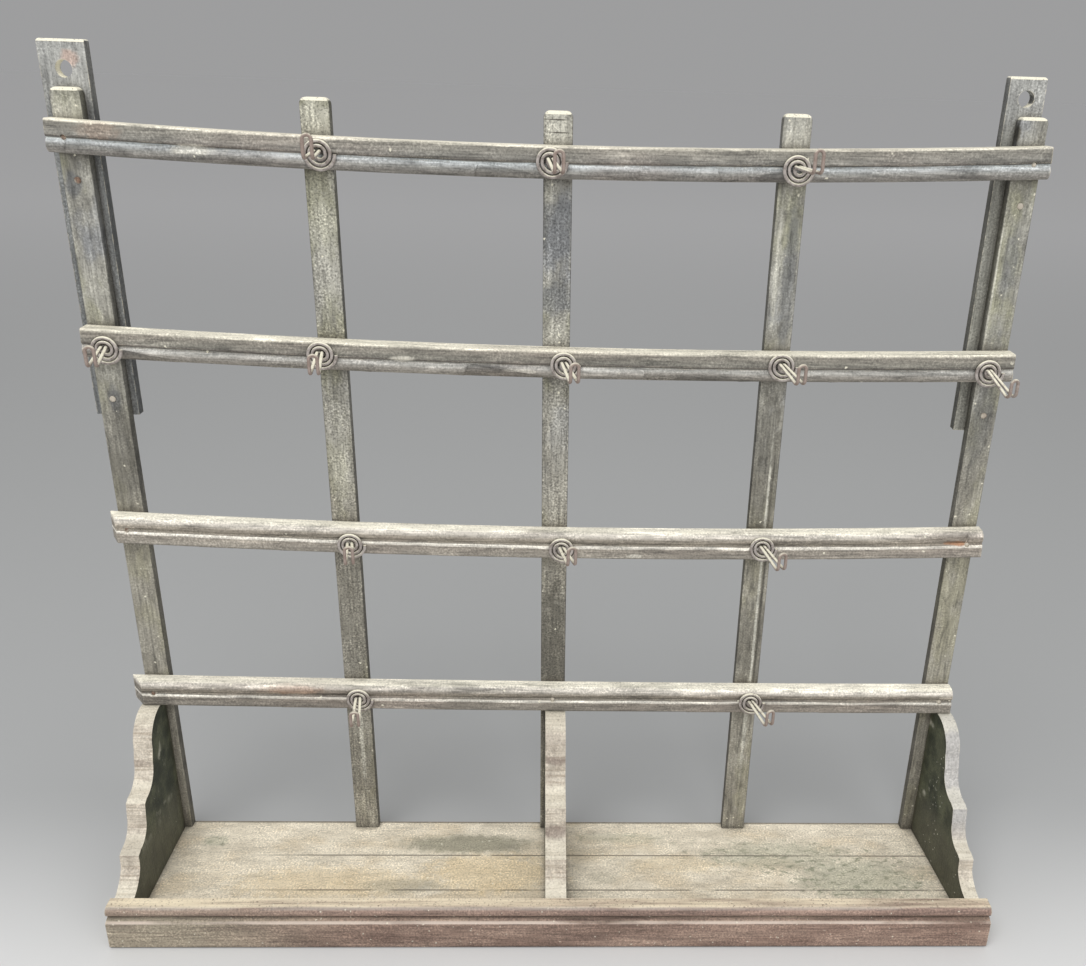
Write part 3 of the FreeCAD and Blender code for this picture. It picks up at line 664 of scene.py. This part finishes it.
GOLDEN_PATCHES = (
    shelf_patch(-0.040, -0.064, 0.065, 0.028, 0.65),
    shelf_patch(-0.160, -0.075, 0.090, 0.022, 0.50),
    shelf_patch(0.100, -0.055, 0.050, 0.012, 0.30),
)
GREEN_PATCHES = (
    shelf_patch(0.240, -0.070, 0.060, 0.026, 0.70),
    shelf_patch(0.180, -0.045, 0.070, 0.020, 0.55),
    shelf_patch(0.060, -0.026, 0.040, 0.008, 0.40),
    shelf_patch(-0.258, -0.030, 0.014, 0.008, 0.60),
)
STAINS = (
    shelf_patch(-0.062, -0.033, 0.066, 0.014, 0.95),
    shelf_patch(-0.105, -0.078, 0.040, 0.010, 0.45),
    shelf_patch(0.045, -0.070, 0.016, 0.008, 0.35),
)


def shelf_seams():
    """The two seams between the boards, as places along y."""
    board = frame["nodes"]["shelf_middle_board"]
    sides = [(board.matrix_world @ Vector(corner)).y for corner in board.bound_box]
    return min(sides), max(sides)


def shelf_paint():
    """Dusty bare boards, golden and green-grey in patches, with dirt in the seams."""
    paint = Paint("shelf_paint")
    blotch = paint.noise(0.016, (2.0, 1, 1), detail=7.0, shift=13.0)
    colour = paint.mix(paint.ramp(blotch, 0.30, 0.68), SHELF_DARK, SHELF_LIGHT)
    brown = paint.ramp(paint.noise(0.030, (2, 1, 1), detail=5.0, shift=25.0), 0.48, 0.66)
    colour = paint.coat(colour, SHELF_BROWN, brown, 0.6)
    colour = paint.patches(colour, SHELF_GOLDEN, GOLDEN_PATCHES)
    colour = paint.patches(colour, SHELF_STAIN, STAINS, ragged=0.3)
    colour = paint.patches(colour, SHELF_GREEN, GREEN_PATCHES)
    mould = paint.ramp(paint.noise(0.004, (2, 1, 1), detail=5.0, shift=29.0), 0.52, 0.64)
    for centre, reach, strength in GREEN_PATCHES:
        wide = paint.spot(centre, [MOULD_SPREAD * r for r in reach], ragged=0.8)
        colour = paint.coat(colour, SHELF_MOULD, wide, mould, strength)
    colour = paint.coat(colour, SHELF_CREAM, paint.ramp(paint.y, *FRONT_FADE), 0.35)
    rings = paint.lines(0.020, (4, 1, 1), 9.0, shift=26.0)
    colour = paint.tone(colour, 0.72, rings, paint.ramp(blotch, 0.62, 0.42), 0.5)
    curls = paint.lines(0.010, (1.8, 1, 1), 5.0, shift=30.0)
    colour = paint.tone(colour, 1.25, curls, 0.4)
    colour = weather(paint, colour, "X", dust_from=0.5, dusty=0.15, streaky=0.16, grit=0.45, wear=0.5,
                     relief=SHELF_RELIEF)
    colour = paint.coat(colour, DUST, paint.dots(0.0055, 0.3, shift=14.0), 0.7)
    broken = paint.times(paint.ramp(paint.noise(0.012, (3, 1, 1), shift=15.0), 0.34, 0.46),
                         paint.ramp(paint.x, *SEAM_END_FADE))
    for seam in shelf_seams():
        colour = paint.coat(colour, GRIME_AND_SHADE, paint.ramp(paint.away(paint.y, seam), *SEAM_FADE), broken, 0.7)
    # Darker along the back edge.
    colour = paint.coat(colour, GRIME_AND_SHADE, paint.ramp(paint.y, *BACK_FADE), 0.7)
    return paint.finish(colour, roughness=0.85)


# Lip: the bead and the painted highlights along it lie between heights and depths
LIP_DARK = rgb(0.185, 0.120, 0.092)
LIP_LIGHT = rgb(0.32, 0.225, 0.175)
LIP_OLIVE = rgb(0.35, 0.315, 0.235)
LIP_SCORE = rgb(0.09, 0.055, 0.045)
LIP_BEAD = rgb(0.27, 0.185, 0.150)
LIP_DUST = rgb(0.90, 0.79, 0.575)
CROWN_HIGHLIGHT = rgb(0.56, 0.53, 0.47)
LEDGE_HIGHLIGHT = rgb(0.66, 0.56, 0.48)
OLIVE_FADE = (-0.12, -0.27)
BRIGHT_FADE = (0.02, 0.25)
BEAD_FADE = (-0.5490, -0.5470)
CROWN_DEPTH_FADE = (-0.1172, -0.1186)
CROWN_HEIGHT_FADE = (-0.5414, -0.5403)
LEDGE_TOP_FADE = (-0.5475, -0.5485)
LEDGE_FOOT_FADE = (-0.5512, -0.5503)
LEDGE_DEPTH_FADE = (-0.1207, -0.1217)


def lip_paint():
    """Red-brown paint, olive toward the left end, yellow dust on top, painted highlights along the bead's
    crown and the ledge.
    """
    paint = Paint("lip_paint")
    blotch = paint.noise(0.020, (4, 1, 1), detail=6.0, shift=16.0)
    colour = paint.mix(paint.ramp(blotch, 0.32, 0.68), LIP_DARK, LIP_LIGHT)
    colour = paint.coat(colour, LIP_OLIVE, paint.ramp(paint.x, *OLIVE_FADE), 0.75)
    colour = paint.coat(colour, LIP_SCORE, paint.lines(0.014, (14, 1, 1), 7.0, shift=27.0), 0.3)
    colour = paint.tone(colour, 1.2, paint.ramp(paint.x, *BRIGHT_FADE))
    bead = paint.ramp(paint.z, *BEAD_FADE)
    colour = paint.coat(colour, LIP_BEAD, bead, 0.6)
    dusty = paint.plus(paint.times(bead, 0.70), 0.2)
    colour = weather(paint, colour, "X", dust_from=0.84, dust=LIP_DUST, dusty=dusty, grit=0.5,
                     streaky=0.5, nook_dirt_and_shade=0.6)
    highlight_share = paint.ramp(blotch, 0.30, 0.55)
    # Painted highlights: a pale line along the bead's crown and another along the ledge, broken up by
    # noise.
    crown = paint.times(paint.ramp(paint.y, *CROWN_DEPTH_FADE), paint.ramp(paint.z, *CROWN_HEIGHT_FADE))
    colour = paint.coat(colour, CROWN_HIGHLIGHT, crown, highlight_share, 0.35)
    ledge = paint.times(paint.ramp(paint.z, *LEDGE_TOP_FADE), paint.ramp(paint.z, *LEDGE_FOOT_FADE),
                        paint.ramp(paint.y, *LEDGE_DEPTH_FADE))
    colour = paint.coat(colour, LEDGE_HIGHLIGHT, ledge, highlight_share, 0.8)
    colour = paint.coat(colour, DUST, paint.dots(0.0042, 0.35, shift=17.0), 0.6)
    return paint.finish(colour, roughness=0.7)


# Brackets: colours of the flat sides and of the sawn edges
SIDE_DARK = rgb(0.025, 0.030, 0.016)
SIDE_LIGHT = rgb(0.085, 0.092, 0.052)
SIDE_FOOT = rgb(0.085, 0.082, 0.055)
SIDE_SPECK = rgb(0.66, 0.64, 0.54)
EDGE_DARK = rgb(0.38, 0.32, 0.25)
EDGE_LIGHT = rgb(0.60, 0.54, 0.45)
EDGE_SOIL = rgb(0.30, 0.25, 0.20)
EDGE_BAND_DARK = rgb(0.22, 0.17, 0.14)
EDGE_COOL = rgb(0.44, 0.435, 0.43)
FOOT_FADE = (-0.505, -0.525)
COOL_FADE = (-0.525, -0.495)
RIGHT_FADE = (0.15, 0.25)
BRACKET_SIDE_FADE = (0.6, 0.9)

# Darker bands on the sawn edges: centre, reach and strength. The first row darkens the middle bracket's
# upper part; the others are painted shade at the profile's steps.
BRACKET_DARK_BANDS = (
    ((0.004, -0.020, -0.448), (0.014, 0.06, 0.030), 0.25),
    ((0.005, -0.030, -0.467), (0.014, 0.05, 0.005), 0.75),
    ((0.006, -0.080, -0.509), (0.014, 0.05, 0.006), 0.75),
    ((0.008, -0.105, -0.553), (0.014, 0.04, 0.005), 0.80),
    ((-0.296, -0.040, -0.470), (0.014, 0.05, 0.004), 0.50),
    ((-0.296, -0.085, -0.515), (0.014, 0.05, 0.005), 0.50),
)


def bracket_side(paint, right):
    """Dark green paint with specks, and with pale scratches that are stronger at the right."""
    cloud = paint.noise(0.02, detail=5.0, shift=18.0)
    colour = paint.mix(paint.ramp(cloud, 0.35, 0.65), SIDE_DARK, SIDE_LIGHT)
    foot = paint.ramp(paint.z, *FOOT_FADE)
    colour = paint.coat(colour, SIDE_FOOT, foot, 0.6)
    colour = paint.coat(colour, SIDE_SPECK, paint.dots(0.0040, 0.4, shift=19.0), 0.7)
    scratch = paint.times(paint.lines(0.020, (1, 1, 1.5), 1.6, shift=28.0), paint.ramp(cloud, 0.46, 0.54))
    stronger = paint.plus(paint.times(right, 0.5), 0.35)
    return paint.coat(colour, SIDE_SPECK, scratch, paint.rest(foot), stronger)


def bracket_edge(paint, right):
    """Bare wood with fine lines, soiled patches and darker bands, mostly painted shade, cooler at the
    right.
    """
    bands = paint.noise(0.0016, (20, 1.5, 1), detail=5.0, shift=20.0)
    colour = paint.mix(paint.ramp(bands, 0.30, 0.58), EDGE_DARK, EDGE_LIGHT)
    soiled = paint.ramp(paint.noise(0.012, detail=5.0, shift=21.0), 0.50, 0.70)
    colour = paint.coat(colour, EDGE_SOIL, soiled, 0.55)
    colour = paint.patches(colour, EDGE_BAND_DARK, BRACKET_DARK_BANDS)
    return paint.coat(colour, EDGE_COOL, right, paint.ramp(paint.z, *COOL_FADE), 0.8)


def bracket_paint():
    """One colour on the flat sides and another on the sawn edges."""
    paint = Paint("bracket_paint")
    right = paint.ramp(paint.x, *RIGHT_FADE)
    side = paint.sideways(*BRACKET_SIDE_FADE)
    colour = paint.mix(side, bracket_edge(paint, right), bracket_side(paint, right))
    colour = weather(paint, colour, "Z", dust_from=0.6, dusty=0.4, streaky=0.25, grit=0.3, wear=0.6)
    return paint.finish(colour, roughness=0.6)


# Hooks and nails
WIRE_DARK = rgb(0.23, 0.195, 0.175)
WIRE_LIGHT = rgb(0.44, 0.40, 0.37)
WIRE_TIP = rgb(0.27, 0.195, 0.16)
TIP_FADE = (-0.045, -0.052)
WIRE_NOOK = 0.0020
NAIL_DARK = rgb(0.09, 0.06, 0.045)
NAIL_LIGHT = rgb(0.25, 0.16, 0.11)
NAIL_DUST = rgb(0.52, 0.47, 0.39)
IRON_RELIEF = 0.0003


def wire_paint():
    """Rusted iron wire, pale and dusty on top, browner toward the tip, darkened between the turns with dirt
    and painted shade.
    """
    paint = Paint("wire_paint")
    blotch = paint.noise(0.003, detail=4.0, shift=22.0)
    colour = paint.mix(paint.ramp(blotch, 0.32, 0.66), WIRE_DARK, WIRE_LIGHT)
    tip = paint.ramp(paint.y, *TIP_FADE)
    colour = paint.coat(colour, WIRE_TIP, tip, 0.7)
    dusty = paint.times(paint.ramp(paint.facing_z, 0.15, 0.7), paint.ramp(blotch, 0.22, 0.48))
    colour = paint.coat(colour, DUST, dusty, paint.rest(paint.times(tip, 0.45)))
    # Dirt and painted shade darken the gaps between the turns.
    colour = paint.coat(colour, GRIME_AND_SHADE, paint.nook(WIRE_NOOK), 0.85)
    paint.bump(blotch, IRON_RELIEF)
    return paint.finish(colour, roughness=0.65, metal=0.1)


def nail_paint():
    """Rusty iron under dust."""
    paint = Paint("nail_paint")
    blotch = paint.noise(0.0015, detail=4.0, shift=23.0)
    colour = paint.mix(paint.ramp(blotch, 0.35, 0.62), NAIL_DARK, NAIL_LIGHT)
    colour = paint.coat(colour, NAIL_DUST, paint.ramp(paint.noise(0.02, shift=24.0), 0.42, 0.52))
    paint.bump(blotch, IRON_RELIEF)
    return paint.finish(colour, roughness=0.7, metal=0.1)


PAINTS = {
    "stile_wood": stile_paint,
    "hanger_wood": hanger_paint,
    "shelf_wood": shelf_paint,
    "lip_wood": lip_paint,
    "bracket_wood": bracket_paint,
    "hook_wire": wire_paint,
    "nail_iron": nail_paint,
}


def paint_nodes():
    """Give every CAD node the finish of its slot, and each rail its own."""
    made = {slot: make() for slot, make in PAINTS.items()}
    for part in frame["record"]["subparts"]:
        name = part["node"]
        mesh = frame["nodes"][name].data
        mesh.materials.clear()
        mesh.materials.append(rail_paint(name) if name in RAIL_BANDS else made[part["material_slot"]])


def make_floor():
    """A plain floor, pale in front as a painted pool of light and greyer behind."""
    size = FLOOR_SIZE / 2
    corners = [(-size, -size, 0), (size, -size, 0), (size, size, 0), (-size, size, 0)]
    mesh = bpy.data.meshes.new("floor")
    mesh.from_pydata(corners, [], [(0, 1, 2, 3)])
    floor = bpy.data.objects.new("floor", mesh)
    floor.location.z = CAD_BOX[0].z - FLOOR_GAP
    bpy.context.scene.collection.objects.link(floor)
    paint = Paint("floor_paint")
    colour = paint.mix(paint.ramp(paint.y, *FAR_FADE), FLOOR_MIDDLE, FLOOR_FAR)
    colour = paint.mix(paint.ramp(paint.y, *NEAR_FADE), colour, FLOOR_NEAR)
    mesh.materials.append(paint.finish(colour, roughness=0.95))
    paint.shader.inputs["Specular IOR Level"].default_value = FLOOR_SHINE


def make_lights():
    """Two broad round lights in front, aimed at the rack's middle."""
    middle = (CAD_BOX[0] + CAD_BOX[1]) / 2
    for name, (offset, power) in LIGHTS.items():
        data = bpy.data.lights.new(name, "AREA")
        data.shape = "DISK"
        data.size = LIGHT_SIZE
        data.energy = power
        light = bpy.data.objects.new(name, data)
        place = middle + offset
        light.location = place
        light.rotation_euler = (middle - place).to_track_quat("-Z", "Y").to_euler()
        bpy.context.scene.collection.objects.link(light)


def make_world():
    """Even light from all round, and a plain grey where the camera looks past the floor."""
    world = bpy.data.worlds.new("world")
    bpy.context.scene.world = world
    world.use_nodes = True
    tree = world.node_tree
    light = tree.nodes["Background"]
    light.inputs["Color"].default_value = WHITE
    light.inputs["Strength"].default_value = WORLD_LIGHT
    seen = tree.nodes.new("ShaderNodeBackground")
    seen.inputs["Color"].default_value = SKY
    path = tree.nodes.new("ShaderNodeLightPath")
    mix = tree.nodes.new("ShaderNodeMixShader")
    plain = path.outputs["Is Camera Ray"]
    for ray in ("Is Glossy Ray", "Is Transmission Ray"):
        either = tree.nodes.new("ShaderNodeMath")
        either.operation = "MAXIMUM"
        tree.links.new(plain, either.inputs[0])
        tree.links.new(path.outputs[ray], either.inputs[1])
        plain = either.outputs[0]
    tree.links.new(plain, mix.inputs[0])
    tree.links.new(light.outputs[0], mix.inputs[1])
    tree.links.new(seen.outputs[0], mix.inputs[2])
    tree.links.new(mix.outputs[0], tree.nodes["World Output"].inputs["Surface"])


make_camera()
make_world()
make_lights()
make_floor()
paint_nodes()
bpy.context.scene.view_settings.view_transform = "Standard"
